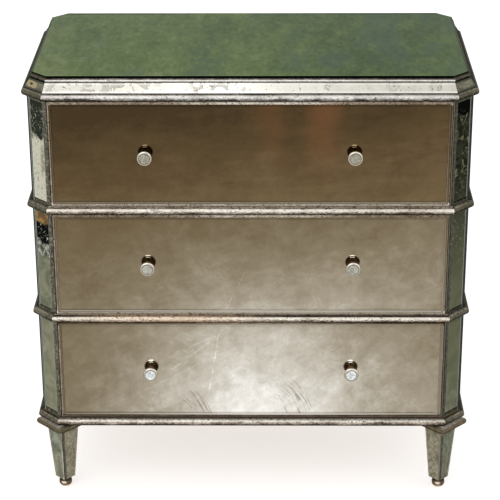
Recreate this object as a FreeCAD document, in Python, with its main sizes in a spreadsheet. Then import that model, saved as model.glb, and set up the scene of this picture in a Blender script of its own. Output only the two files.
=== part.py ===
import FreeCAD, Part
import math
import operator
import os
from types import SimpleNamespace
import Sketcher
from FreeCAD import Rotation, Vector

# A chest of three equal drawers with canted corners, faced all over with panes of mirror glass.
# Lengths are in millimetres. X runs to the right, -Y is the front, Z is up and the floor is Z = 0.
# The origin lies on the floor under the middle of the whole chest, knobs and collars included.

sizes = {
    # carcass
    "bodyWidth": 893,               # over the side faces, mouldings left out
    "bodyDepth": 467,               # front face to back face
    "cantWidth": 38.1,              # each corner is cut at 45 degrees, this far along both faces
    "postStile": 4.4,               # flat of a corner post beside the drawers
    "postCheek": 5.9,               # flat of a corner post beside the side panel
    "sideThickness": 18,
    "backThickness": 12,
    "baseReveal": 3,                # bottom board above the base moulding
    "railDepth": 60,
    "runnerWidth": 88,
    "guideHeight": 20,
    "stopHeight": 30,
    "stopWidth": 28,
    "stopDepth": 24.5,
    # half-round mouldings on a flat stand
    "mouldStand": 2.5,
    "mouldRadius": 8,
    "mitreKerf": 0.2,               # hairline between two pieces that meet at a corner
    # cornice: a sloped frieze of glass, a neck with a small bead, and a glass top
    "friezeRise": 18.7,
    "friezeRun": 12.5,
    "friezeFoot": 1,                # how far the frieze's wooden core stands out at its foot
    "friezeGlass": 3,
    "friezeGap": 1,                 # under the frieze's glass
    "neckHeight": 10,
    "neckBeadRise": 0.9,
    "neckBeadStand": 0.4,
    "neckBeadRadius": 3.6,
    "topGlass": 4,
    "topBevelDepth": 1,
    "topBevelWidth": 4,
    # panes let in flush with the corner posts and the side panels
    "inlayGlass": 3,
    "inlayClearance": 0.25,
    "inlayBevelDepth": 1,
    "postBorder": 6,                # wood left round a pane
    "postBevelWidth": 2.5,
    "sideBorder": 8,
    "sideBevelWidth": 5,
    # drawer fronts
    "frontHeight": 222,
    "frontThickness": 18,
    "frontRecess": 2.5,             # wooden front behind the carcass's front face
    "sideGap": 1.5,
    "headGap": 1,
    "footGap": 2.5,
    "frameStand": 3.75,             # frame: a narrow half-round bead on a flat stand
    "frameRadius": 3.25,
    "paneGap": 0.3,
    "paneGlass": 4,
    "paneBevelDepth": 1,
    "paneBevelWidth": 5,
    # drawer boxes
    "boxInset": 4,                  # side of the box inside the opening
    "boxHeadroom": 45.2,            # over the box, up to the top of the opening
    "boxBoard": 12,
    "boxLift": 0.3,                 # running clearance over the runners
    "guideGap": 0.5,
    "stopGap": 0.5,
    "bottomPanel": 6,
    "bottomRise": 12,               # the panel above the lower edge of the box
    "grooveDepth": 5,
    "grooveClearance": 0.2,
    # knobs
    "knobInset": 192.1,             # from the end of the drawer's front
    "knobDrop": 2,                  # below the middle of the drawer's front
    "knobBaseRadius": 8.5,
    "knobBaseHeight": 2,
    "knobNeckRadius": 5.8,
    "knobNeckHeight": 7,
    "knobFlareHeight": 7.3,
    "knobHeadRadius": 15.5,
    "knobRimRadius": 3.6,
    "rimLip": 0.2,                  # between the rim's round and the dish
    "dishDepth": 1.5,
    "discClearance": 0.2,
    "discThickness": 2,
    "discBevel": 0.8,
    "screwRadius": 2,
    "screwClearance": 0.3,
    "screwFit": 0.05,
    "screwGrip": 15,                # length of the screw inside the knob
    "screwHeadRadius": 4.2,
    "screwHeadHeight": 2.6,
    # legs: square and tapered, turned so that an edge points forward
    "legInset": 39.9,               # leg's axis from the side face
    "legSetback": 34.7,             # leg's axis from the front or back face
    "legLength": 127.5,
    "legTopWidth": 46.6,
    "legFootWidth": 29.8,
    "legEdge": 3.6,                 # wood left beside each pane
    "legGlass": 2,
    "collarWidth": 79,
    "collarHeight": 18,
    "collarFlat": 0.2,              # between the upper and the lower round of its edge
    "boltRadius": 4,
    "boltFit": 0.1,
    "boltInLeg": 35,
    "boltInBoard": 12,
    # feet: balls with a flat top and a flat bottom
    "ballRadius": 14,
    "ballFlatRadius": 6.3,          # where it stands on the floor
    "ballSeatRadius": 7.2,          # where the leg stands on it
    "stemRadius": 3,
    "stemFit": 0.1,
    "stemLength": 15,
}

doc = FreeCAD.newDocument("MirroredChest")
sheet = doc.addObject("Spreadsheet::Sheet", "Sizes")
for row, (alias, value) in enumerate(sizes.items(), 1):
    sheet.set(f"A{row}", alias)
    sheet.set(f"B{row}", str(value))
    sheet.setAlias(f"B{row}", alias)
doc.recompute()


# ---- formulas ----

class Formula:
    # A size worked out from the sheet: its text is what a bound property holds.
    def __init__(self, text, value):
        self.text = text
        self.value = value

    def __add__(self, other):
        return joined(self, "+", other)

    def __radd__(self, other):
        return joined(other, "+", self)

    def __sub__(self, other):
        return joined(self, "-", other)

    def __rsub__(self, other):
        return joined(other, "-", self)

    def __mul__(self, other):
        return joined(self, "*", other)

    def __rmul__(self, other):
        return joined(other, "*", self)

    def __truediv__(self, other):
        return joined(self, "/", other)

    def __neg__(self):
        return Formula(f"(-{self.text})", -self.value)


signs = {"+": operator.add, "-": operator.sub, "*": operator.mul, "/": operator.truediv}


def formula(number):
    return number if isinstance(number, Formula) else Formula(repr(number), number)


def joined(left, sign, right):
    left = formula(left)
    right = formula(right)
    return Formula(f"({left.text} {sign} {right.text})", signs[sign](left.value, right.value))


def arcTangent(ratio):
    return Formula(f"atan({ratio.text})", math.degrees(math.atan(ratio.value)))


def arcCosine(ratio):
    return Formula(f"acos({ratio.text})", math.degrees(math.acos(ratio.value)))


def squareRoot(number):
    return Formula(f"sqrt({number.text})", math.sqrt(number.value))


size = SimpleNamespace(**{alias: Formula(f"Sizes.{alias}", value)
                          for alias, value in sizes.items()})


# ---- features ----

def bind(thing, **values):
    for name, value in values.items():
        thing.setExpression(name, formula(value).text)
    return thing


def place(thing, x=0, y=0, z=0, turn=Rotation()):
    position = [formula(value) for value in (x, y, z)]
    thing.Placement = FreeCAD.Placement(Vector(*(value.value for value in position)), turn)
    for axis, value in zip("xyz", position):
        thing.setExpression(f"Placement.Base.{axis}", value.text)
    return thing


def aboutUpright(degrees):
    return Rotation(Vector(0, 0, 1), degrees)


tipForward = Rotation(Vector(1, 0, 0), 90)      # a piece's own Z turns to -Y, its Y to Z


def block(xs, ys, zs):
    # a board between two planes each way
    box = doc.addObject("Part::Box", "Board")
    bind(box, Length=xs[1] - xs[0], Width=ys[1] - ys[0], Height=zs[1] - zs[0])
    return place(box, xs[0], ys[0], zs[0])


def rod(radius, height, x=0, y=0, z=0, turn=Rotation()):
    cylinder = doc.addObject("Part::Cylinder", "Rod")
    bind(cylinder, Radius=radius, Height=height)
    return place(cylinder, x, y, z, turn)


def wedge(ys, near, far, turn=Rotation()):
    # near and far are its rectangles, each (xs, zs), at the two ends of its Y range
    piece = doc.addObject("Part::Wedge", "Wedge")
    bind(piece, Ymin=ys[0], Ymax=ys[1],
         Xmin=near[0][0], Xmax=near[0][1], Zmin=near[1][0], Zmax=near[1][1],
         X2min=far[0][0], X2max=far[0][1], Z2min=far[1][0], Z2max=far[1][1])
    return place(piece, turn=turn)


def combined(kind, base, tool):
    result = doc.addObject(f"Part::{kind}", kind)
    result.Base = base
    result.Tool = tool
    return result


def group(pieces):
    compound = doc.addObject("Part::Compound", "Group")
    compound.Links = list(pieces)
    return compound


def cut(base, *tools):
    return combined("Cut", base, tools[0] if len(tools) == 1 else group(tools))


def copyOf(piece, x=0, y=0, z=0, turn=Rotation()):
    return place(group([piece]), x, y, z, turn)


nodes = []


def node(name, *pieces):
    whole = pieces[0] if len(pieces) == 1 else group(pieces)
    whole.Label = name
    nodes.append(whole)


def around(reach):
    return -reach, reach


def mirroredBlocks(xs, ys, zs):
    # the same board on the right and on the left
    return [block(xs, ys, zs), block((-xs[1], -xs[0]), ys, zs)]


def tie(sketch, kind, side, vertex, value):
    value = formula(value)
    index = sketch.addConstraint(Sketcher.Constraint(kind, side, vertex, value.value))
    sketch.setExpression(f"Constraints[{index}]", value.text)


def outline(body, plane, points, lift=0, halfRound=None):
    # A closed sketch whose corners are tied to the sheet. halfRound is the number of the one
    # side, parallel to the sketch's second axis, that bulges outward as a half circle.
    sketch = body.newObject("Sketcher::SketchObject", "Outline")
    origin = next(part for part in body.Origin.OriginFeatures if part.Role == plane)
    sketch.AttachmentSupport = [(origin, "")]
    sketch.MapMode = "FlatFace"
    sketch.setExpression("AttachmentOffset.Base.z", formula(lift).text)
    corners = [Vector(formula(x).value, formula(y).value) for x, y in points]
    ends = corners[1:] + corners[:1]
    for side, (start, end) in enumerate(zip(corners, ends)):
        if side == halfRound:
            nose = (start + end) / 2 + Vector(start.distanceToPoint(end) / 2, 0)
            sketch.addGeometry(Part.Arc(start, nose, end), False)
        else:
            sketch.addGeometry(Part.LineSegment(start, end), False)
    for side in range(len(points)):
        following = (side + 1) % len(points)
        sketch.addConstraint(Sketcher.Constraint("Coincident", side, 2, following, 1))
    for side, (x, y) in enumerate(points):
        tie(sketch, "DistanceX", side, 1, x)
        tie(sketch, "DistanceY", side, 1, y)
        if side == halfRound:
            tie(sketch, "DistanceX", side, 3, x)
    return sketch


def pad(body, points, height, lift=0, leanIn=None):
    # leanIn is how far every side leans in over the height
    feature = body.newObject("PartDesign::Pad", "Pad")
    feature.Profile = outline(body, "XY_Plane", points, lift)
    bind(feature, Length=height)
    if leanIn is not None:
        bind(feature, TaperAngle=-arcTangent(leanIn / height))
    return feature


def slab(points, foot, height, leanIn=None):
    body = doc.addObject("PartDesign::Body", "Slab")
    pad(body, points, height, leanIn=leanIn)
    return place(body, z=foot)


def turned(points, halfRound=None):
    # a piece turned about its own Z axis, from points (radius, height)
    body = doc.addObject("PartDesign::Body", "Turned")
    profile = outline(body, "XZ_Plane", points, halfRound=halfRound)
    lathe = body.newObject("PartDesign::Revolution", "Lathe")
    lathe.Profile = profile
    lathe.ReferenceAxis = (profile, ["V_Axis"])
    lathe.Angle = 360
    return body


def bevelledPane(width, height, glass, bevelWidth, bevelDepth):
    # its face is the plane Y = 0, its foot is at Z = 0 and X = 0 is its middle
    whole = (around(width / 2), (0, height))
    face = (around(width / 2 - bevelWidth), (bevelWidth, height - bevelWidth))
    backing = block(whole[0], (bevelDepth, glass), whole[1])
    return combined("Fuse", backing, wedge((0, bevelDepth), face, whole))


def bead(length, stand, radius):
    # a half round on a flat stand, which stands out from the plane Y = 0 towards -Y
    base = block(around(length / 2), (-stand, 0), (0, 2 * radius))
    nose = rod(radius, length, -length / 2, -stand, radius, Rotation(Vector(0, 1, 0), 90))
    return combined("Fuse", base, nose)


# ---- plan ----

mitreGrowth = 2 ** 0.5 - 1      # how far a corner of the plan moves along its face per unit out
halfWidth = size.bodyWidth / 2
halfOpening = halfWidth - size.cantWidth - size.postStile
halfFront = halfOpening - size.sideGap
halfBox = halfOpening - size.boxInset
postDepth = size.cantWidth + size.postCheek
mouldHeight = 2 * size.mouldRadius
paneStand = size.paneGlass - size.frontRecess
knobRimHeight = 2 * size.knobRimRadius
rimX = size.knobHeadRadius - size.knobRimRadius
dishRadius = rimX - size.rimLip
knobLength = size.knobBaseHeight + size.knobNeckHeight + size.knobFlareHeight + knobRimHeight
knobReach = paneStand + knobLength - size.dishDepth + size.discThickness
collarReach = size.collarWidth / 2 ** 0.5 - size.legSetback
front = (knobReach - collarReach - size.bodyDepth) / 2
back = front + size.bodyDepth
backInside = back - size.backThickness
boxReach = size.bodyDepth - size.backThickness - size.stopDepth - size.stopGap
sideInside = halfWidth - size.sideThickness


def plan(outset):
    # the eight corners of the plan, from the front face's right end round by the right side
    frontX = halfWidth - size.cantWidth + outset * mitreGrowth
    sideX = halfWidth + outset
    nearY = front + size.cantWidth - outset * mitreGrowth
    farY = back - size.cantWidth + outset * mitreGrowth
    right = [(frontX, front - outset), (sideX, nearY), (sideX, farY), (frontX, back + outset)]
    return right + [(-x, y) for x, y in reversed(right)]


def faces(outset):
    # the middle of each of the eight faces and its turn from facing forward
    corners = plan(outset)
    found = []
    for number, ((x, y), (nextX, nextY)) in enumerate(zip(corners, corners[1:] + corners[:1])):
        found.append(((x + nextX) / 2, (y + nextY) / 2, aboutUpright(45 * (number + 1))))
    return found


flush = formula(0)
cantFace = size.cantWidth * 2 ** 0.5
sideFace = size.bodyDepth - 2 * size.cantWidth
frontFace = size.bodyWidth - 2 * size.cantWidth

# ---- levels ----

ballBelow = squareRoot(size.ballRadius * size.ballRadius
                       - size.ballFlatRadius * size.ballFlatRadius)
ballAbove = squareRoot(size.ballRadius * size.ballRadius
                       - size.ballSeatRadius * size.ballSeatRadius)
legFoot = ballBelow + ballAbove
collarFoot = legFoot + size.legLength
boardFoot = collarFoot + size.collarHeight
boardTop = boardFoot + mouldHeight + size.baseReveal
openingHeight = size.footGap + size.frontHeight + size.headGap
storey = openingHeight + mouldHeight
floors = [boardTop, boardTop + storey, boardTop + storey + storey]
railFeet = [floor - mouldHeight for floor in floors[1:]]
topBoardFoot = floors[2] + openingHeight
coreFoot = topBoardFoot + mouldHeight
neckFoot = coreFoot + size.friezeRise
neckTop = neckFoot + size.neckHeight
neckOutset = size.friezeFoot - size.friezeRun


# ---- cornice and top ----

def cornerBlades(reach, foot, height):
    # thin upright blades through the corners of the plan, which part a ring at its mitres
    blade = block(around(reach), around(size.mitreKerf / 2), (0, height))
    return group(copyOf(blade, x, y, foot, aboutUpright(45 * number - 67.5))
                 for number, (x, y) in enumerate(plan(flush)))


def cornice():
    core = doc.addObject("PartDesign::Body", "Core")
    pad(core, plan(size.friezeFoot), size.friezeRise, leanIn=size.friezeRun)
    pad(core, plan(neckOutset), size.neckHeight, lift=size.friezeRise)
    node("cornice_core", place(core, z=coreFoot))

    slope = size.friezeRun / size.friezeRise
    glassOut = size.friezeGlass * squareRoot(1 + slope * slope)
    glassFoot = size.friezeFoot - size.friezeGap * slope
    glassRise = size.friezeRise - size.friezeGap
    foot = coreFoot + size.friezeGap
    outer = slab(plan(glassFoot + glassOut), foot, glassRise, glassRise * slope)
    inner = slab(plan(glassFoot), foot, glassRise, glassRise * slope)
    blades = cornerBlades(2 * (size.friezeRun + glassOut), coreFoot, 2 * size.friezeRise)
    node("frieze_mirrors", cut(cut(outer, inner), blades))

    top = doc.addObject("PartDesign::Body", "Top")
    flatGlass = size.topGlass - size.topBevelDepth
    pad(top, plan(neckOutset), flatGlass)
    pad(top, plan(neckOutset), size.topBevelDepth, lift=flatGlass, leanIn=size.topBevelWidth)
    node("top_mirror", place(top, z=neckTop))
    node("top_board", slab(plan(flush), topBoardFoot, mouldHeight))


# ---- mouldings ----

def mitredBead(width, stand, radius):
    # a bead for a face of this width, mitred to meet its neighbours, which turn off by 45 degrees
    reach = stand + radius
    root = width / 2 - size.mitreKerf
    tip = root + reach * mitreGrowth
    heights = (0, 2 * radius)
    trim = wedge((-reach, 0), (around(tip), heights), (around(root), heights))
    return combined("Common", bead(2 * tip, stand, radius), trim)


def beadRing(outset, stand, radius):
    growth = 2 * outset * mitreGrowth
    cant, side, face = (mitredBead(width + growth, stand, radius)
                        for width in (cantFace, sideFace, frontFace))
    order = [cant, side, cant, face] * 2
    return group(copyOf(piece, x, y, turn=turn)
                 for piece, (x, y, turn) in zip(order, faces(outset)))


def mouldings():
    neckBead = beadRing(neckOutset, size.neckBeadStand, size.neckBeadRadius)
    node("cornice_upper_bead", copyOf(neckBead, z=neckFoot + size.neckBeadRise))
    ring = beadRing(flush, size.mouldStand, size.mouldRadius)
    levels = {
        "cornice_lower_bead": topBoardFoot,
        "waist_moulding_upper": railFeet[1],
        "waist_moulding_lower": railFeet[0],
        "base_moulding": boardFoot,
    }
    for name, level in levels.items():
        node(name, copyOf(ring, z=level))


# ---- corner posts, side panels and the panes let into them ----

def inlay(width, border, bevelWidth):
    # A pane for each storey and the rebates that take them, with their faces in the plane Y = 0.
    glassWidth = width - 2 * border
    height = openingHeight - 2 * border
    pane = bevelledPane(glassWidth, height, size.inlayGlass, bevelWidth, size.inlayBevelDepth)
    spare = size.inlayClearance
    rebate = block(around(glassWidth / 2 + spare), around(size.inlayGlass),
                   (-spare, height + spare))
    return [group(copyOf(piece, z=floor + border) for floor in floors)
            for piece in (pane, rebate)]


def posts():
    panes, rebates = inlay(cantFace, size.postBorder, size.postBevelWidth)
    corners = plan(flush)
    glass = {"right": [], "left": []}
    for number, end, side in ((0, "front", "right"), (2, "rear", "right"),
                              (4, "rear", "left"), (6, "front", "left")):
        outward = 1 if side == "right" else -1
        faceY, innerY = front, front + postDepth
        if end == "rear":
            faceY, innerY = back, back - postDepth
        sideX = outward * halfWidth
        innerX = outward * halfOpening
        rest = [(sideX, innerY), (innerX, innerY), (innerX, faceY)]
        if number in (2, 6):
            rest.reverse()
        shaft = slab(corners[number:number + 2] + rest, boardTop, topBoardFoot - boardTop)
        x, y, turn = faces(flush)[number]
        node(f"post_{end}_{side}", cut(shaft, copyOf(rebates, x, y, turn=turn)))
        glass[side].append(copyOf(panes, x, y, turn=turn))
    for side, pieces in glass.items():
        node(f"post_mirrors_{side}", *pieces)


def sidePanels():
    panelWidth = size.bodyDepth - 2 * postDepth
    panes, rebates = inlay(panelWidth, size.sideBorder, size.sideBevelWidth)
    ys = (front + postDepth, back - postDepth)
    boards = mirroredBlocks((sideInside, halfWidth), ys, (boardTop, topBoardFoot))
    glass = []
    for name, board, number in (("right", boards[0], 1), ("left", boards[1], 5)):
        x, y, turn = faces(flush)[number]
        node(f"side_panel_{name}", cut(board, copyOf(rebates, x, y, turn=turn)))
        glass.append(copyOf(panes, x, y, turn=turn))
    node("side_mirrors", *glass)


# ---- inside of the carcass ----

def framework():
    node("back_panel", block(around(halfOpening), (backInside, back), (boardTop, topBoardFoot)))
    runnerXs = (sideInside - size.runnerWidth, sideInside)
    runnerYs = (front + size.railDepth, backInside - size.railDepth)
    for name, foot in zip(("lower", "upper"), railFeet):
        heights = (foot, foot + mouldHeight)
        rail = block(around(halfOpening), (front, runnerYs[0]), heights)
        rearRail = block(around(halfOpening), (runnerYs[1], backInside), heights)
        node(f"web_frame_{name}", rail, rearRail, *mirroredBlocks(runnerXs, runnerYs, heights))
    guides = []
    stops = []
    guideXs = (halfBox + size.guideGap, sideInside)
    stopXs = (halfOpening - size.stopWidth, halfOpening)
    stopYs = (backInside - size.stopDepth, backInside)
    for floor in floors:
        guides += mirroredBlocks(guideXs, runnerYs, (floor, floor + size.guideHeight))
        stops += mirroredBlocks(stopXs, stopYs, (floor, floor + size.stopHeight))
    node("drawer_guides", *guides)
    node("drawer_stops", *stops)


# ---- legs and feet ----

def tapered(foot, top):
    # upright and as long as a leg; foot and top are (xs, ys)
    return wedge((0, size.legLength), foot, top, tipForward)


def legs():
    halfFoot = size.legFootWidth / 2
    halfTop = size.legTopWidth / 2
    foot = around(halfFoot)
    top = around(halfTop)
    whole = tapered((foot, foot), (top, top))
    heartFoot = around(halfFoot - size.legGlass)
    heartTop = around(halfTop - size.legGlass)
    heart = tapered((heartFoot, heartFoot), (heartTop, heartTop))
    paneFoot = around(halfFoot - size.legEdge)
    paneTop = around(halfTop - size.legEdge)
    windows = combined("Fuse", tapered((paneFoot, foot), (paneTop, top)),
                       tapered((foot, paneFoot), (top, paneTop)))
    glass = combined("Common", cut(whole, heart), windows)

    boltHole = size.boltRadius + size.boltFit
    boltSocket = rod(boltHole, size.boltInLeg, z=size.legLength - size.boltInLeg)
    stemSocket = rod(size.stemRadius + size.stemFit, size.stemLength)
    shaft = cut(whole, glass, boltSocket, stemSocket)

    collar = doc.addObject("PartDesign::Body", "Collar")
    half = size.collarWidth / 2
    square = pad(collar, [(half, -half), (half, half), (-half, half), (-half, -half)],
                 size.collarHeight)
    doc.recompute()
    rounding = collar.newObject("PartDesign::Fillet", "Round")
    rounding.Base = (square, [f"Edge{number}" for number, edge in enumerate(square.Shape.Edges, 1)
                              if abs(edge.tangentAt(edge.FirstParameter).z) < 0.5])
    bind(rounding, Radius=(size.collarHeight - size.collarFlat) / 2)
    ring = cut(collar, rod(boltHole, size.collarHeight))

    ball = doc.addObject("Part::Sphere", "Ball")
    bind(ball, Radius=size.ballRadius, Angle1=-arcCosine(size.ballFlatRadius / size.ballRadius),
         Angle2=arcCosine(size.ballSeatRadius / size.ballRadius))
    place(ball, z=ballBelow)
    stem = rod(size.stemRadius, size.stemLength + ballAbove, z=ballBelow)
    footPiece = combined("Fuse", ball, stem)
    bolt = rod(size.boltRadius, size.boltInLeg + size.collarHeight + size.boltInBoard)

    legX = halfWidth - size.legInset
    corners = {
        "front_right": (legX, front + size.legSetback),
        "front_left": (-legX, front + size.legSetback),
        "rear_right": (legX, back - size.legSetback),
        "rear_left": (-legX, back - size.legSetback),
    }
    turn = aboutUpright(45)
    for name, (x, y) in corners.items():
        node(f"leg_{name}", copyOf(shaft, x, y, legFoot, turn))
    places = corners.values()
    node("leg_mirrors", *(copyOf(glass, x, y, legFoot, turn) for x, y in places))
    node("leg_collars", *(copyOf(ring, x, y, collarFoot, turn) for x, y in places))
    node("ball_feet", *(copyOf(footPiece, x, y) for x, y in places))
    node("leg_bolts", *(copyOf(bolt, x, y, collarFoot - size.boltInLeg) for x, y in places))
    board = slab(plan(flush), boardFoot, boardTop - boardFoot)
    node("bottom_board", cut(board, *(rod(boltHole, size.boltInBoard, x, y, boardFoot)
                                      for x, y in places)))


# ---- drawers ----

def knob():
    # its own Z axis points forward, with its base at Z = 0
    flareFoot = size.knobBaseHeight + size.knobNeckHeight
    rimFoot = flareFoot + size.knobFlareHeight
    dishFloor = knobLength - size.dishDepth
    bore = size.screwRadius + size.screwFit
    return turned([
        (bore, 0),
        (size.knobBaseRadius, 0),
        (size.knobBaseRadius, size.knobBaseHeight),
        (size.knobNeckRadius, size.knobBaseHeight),
        (size.knobNeckRadius, flareFoot),
        (rimX, rimFoot),
        (rimX, knobLength),
        (dishRadius, knobLength),
        (dishRadius, dishFloor),
        (0, dishFloor),
        (0, size.screwGrip),
        (bore, size.screwGrip),
    ], halfRound=5)


def knobDisc():
    radius = dishRadius - size.discClearance
    face = size.discThickness
    shoulder = face - size.discBevel
    return turned([(0, 0), (radius, 0), (radius, shoulder), (radius - size.discBevel, face),
                   (0, face)])


def drawerFrame(width):
    # four beads round the pane, mitred at 45 degrees
    depths = (0, size.frameStand + size.frameRadius)
    middle = size.footGap + size.frontHeight / 2
    strips = []
    for length, across, turns in ((2 * halfFront, size.frontHeight, (0, 180)),
                                  (size.frontHeight, 2 * halfFront, (90, 270))):
        outer = length / 2 - size.mitreKerf
        trim = wedge((0, width), (around(outer), depths), (around(outer - width), depths),
                     tipForward)
        strip = combined("Common", bead(length, size.frameStand, size.frameRadius), trim)
        lowered = copyOf(strip, z=-across / 2)
        for turn in turns:
            rolled = Rotation(Vector(0, 1, 0), turn)
            strips.append(copyOf(lowered, 0, size.frontRecess, middle, rolled))
    return strips


def drawerPieces():
    # The carcass's front face is Y = 0 and the floor of the drawer's opening is Z = 0.
    boardBack = size.frontRecess + size.frontThickness
    frontTop = size.footGap + size.frontHeight
    boxInside = halfBox - size.boxBoard
    boxHeights = (size.boxLift, openingHeight - size.boxHeadroom)
    panelFoot = size.boxLift + size.bottomRise
    panelTop = panelFoot + size.bottomPanel
    spare = size.grooveClearance
    grooveHalf = boxInside + size.grooveDepth
    grooveStart = boardBack - size.grooveDepth
    groove = block(around(grooveHalf), (grooveStart, boxReach), (panelFoot, panelTop + spare))
    board = block(around(halfFront), (size.frontRecess, boardBack), (size.footGap, frontTop))
    boxSides = mirroredBlocks((boxInside, halfBox), (boardBack, boxReach), boxHeights)
    boxBack = block(around(boxInside), (boxReach - size.boxBoard, boxReach),
                    (panelTop, boxHeights[1]))
    panel = block(around(grooveHalf - spare), (grooveStart + spare, boxReach),
                  (panelFoot, panelTop))

    knobZ = size.footGap + size.frontHeight / 2 - size.knobDrop
    knobXs = around(halfFront - size.knobInset)
    boreLength = size.frontThickness + size.paneGlass
    bores = group(rod(size.screwRadius + size.screwClearance, boreLength, x, boardBack, knobZ,
                      tipForward) for x in knobXs)
    frameWidth = 2 * size.frameRadius
    inset = frameWidth + size.paneGap
    pane = bevelledPane(2 * (halfFront - inset), size.frontHeight - 2 * inset,
                        size.paneGlass, size.paneBevelWidth, size.paneBevelDepth)
    glass = copyOf(pane, 0, -paneStand, size.footGap + inset)
    screw = combined("Fuse", rod(size.screwRadius, boreLength + size.screwGrip),
                     rod(size.screwHeadRadius, size.screwHeadHeight, z=-size.screwHeadHeight))
    turnings = {
        "knobs": (knob(), -paneStand),
        "knob_mirrors": (knobDisc(), size.dishDepth - knobLength - paneStand),
        "knob_screws": (screw, boardBack),
    }
    pieces = {
        "front": [cut(board, bores, groove)],
        "sides": [cut(side, groove) for side in boxSides],
        "back": [boxBack],
        "bottom": [panel],
        "mirror": [cut(glass, bores)],
        "frame": drawerFrame(frameWidth),
    }
    for name, (piece, y) in turnings.items():
        pieces[name] = [copyOf(piece, x, y, knobZ, tipForward) for x in knobXs]
    return pieces


def drawers():
    pieces = drawerPieces()
    for tier, floor in zip(("bottom", "middle", "top"), floors):
        for name, parts in pieces.items():
            node(f"{tier}_drawer_{name}", *(copyOf(part, 0, front, floor) for part in parts))


cornice()
mouldings()
posts()
sidePanels()
framework()
legs()
drawers()
doc.recompute()

for thing in doc.Objects:
    if {"Invalid", "Error"} & set(thing.State):
        raise RuntimeError(f"{thing.Label}: {thing.State}")
for thing in nodes:
    if thing.Shape.isNull() or not thing.Shape.isValid():
        raise RuntimeError(f"{thing.Label} has no valid shape")

os.makedirs("parts", exist_ok=True)
for thing in nodes:
    thing.Shape.exportStep(f"parts/{thing.Label}.step")
print(len(nodes), "nodes,", sum(len(thing.Shape.Solids) for thing in nodes), "solids")
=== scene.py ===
# Mirrored chest of three drawers: antiqued glass set in worn silver leaf.
# Metres; the chest stands on z = 0 with its front towards -y.
from math import pi, tan

import bpy
from mathutils import Matrix, Vector


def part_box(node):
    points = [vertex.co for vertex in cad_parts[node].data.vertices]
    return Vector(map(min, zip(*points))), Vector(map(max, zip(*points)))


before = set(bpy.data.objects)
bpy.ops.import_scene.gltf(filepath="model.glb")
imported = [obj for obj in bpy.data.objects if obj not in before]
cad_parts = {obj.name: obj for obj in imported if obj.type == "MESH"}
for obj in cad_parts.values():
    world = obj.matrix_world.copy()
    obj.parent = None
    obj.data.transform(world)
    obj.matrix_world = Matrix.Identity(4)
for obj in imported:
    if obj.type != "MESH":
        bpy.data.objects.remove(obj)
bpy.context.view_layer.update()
tiers = ("top", "middle", "bottom")


def span(node, axis):  # where a node starts and ends along x, y or z
    low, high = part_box(node)
    place = "xyz".index(axis)
    return low[place], high[place]


# shader maths
class Shade:
    # one output of a finish's nodes; sums on shades add their Math nodes
    def __init__(self, finish, socket):
        self.finish, self.socket = finish, socket

    def sum(self, operation, *values):
        return self.finish.node("Math", {"operation": operation}, dict(enumerate(values)))

    def __add__(self, other):
        return self.sum("ADD", self, other)

    def __radd__(self, other):
        return self.sum("ADD", other, self)

    def __sub__(self, other):
        return self.sum("SUBTRACT", self, other)

    def __rsub__(self, other):
        return self.sum("SUBTRACT", other, self)

    def __mul__(self, other):
        return self.sum("MULTIPLY", self, other)

    def __rmul__(self, other):
        return self.sum("MULTIPLY", other, self)

    def __truediv__(self, other):
        return self.sum("DIVIDE", self, other)

    def __pow__(self, other):
        return self.sum("POWER", self, other)

    def __abs__(self):
        return self.sum("ABSOLUTE", self)

    def most(self, other):
        return self.sum("MAXIMUM", self, other)

    def sign(self):
        return self.sum("SIGN", self)

    def ease(self, low, high):  # 0 below low, 1 above high, smooth between
        return self.finish.node("MapRange", {"interpolation_type": "SMOOTHSTEP"},
                                {"Value": self, "From Min": low, "From Max": high})

    def band(self, low, high, soft):  # 1 between low and high
        return self.ease(low - soft, low + soft) * (1 - self.ease(high - soft, high + soft))


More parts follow.
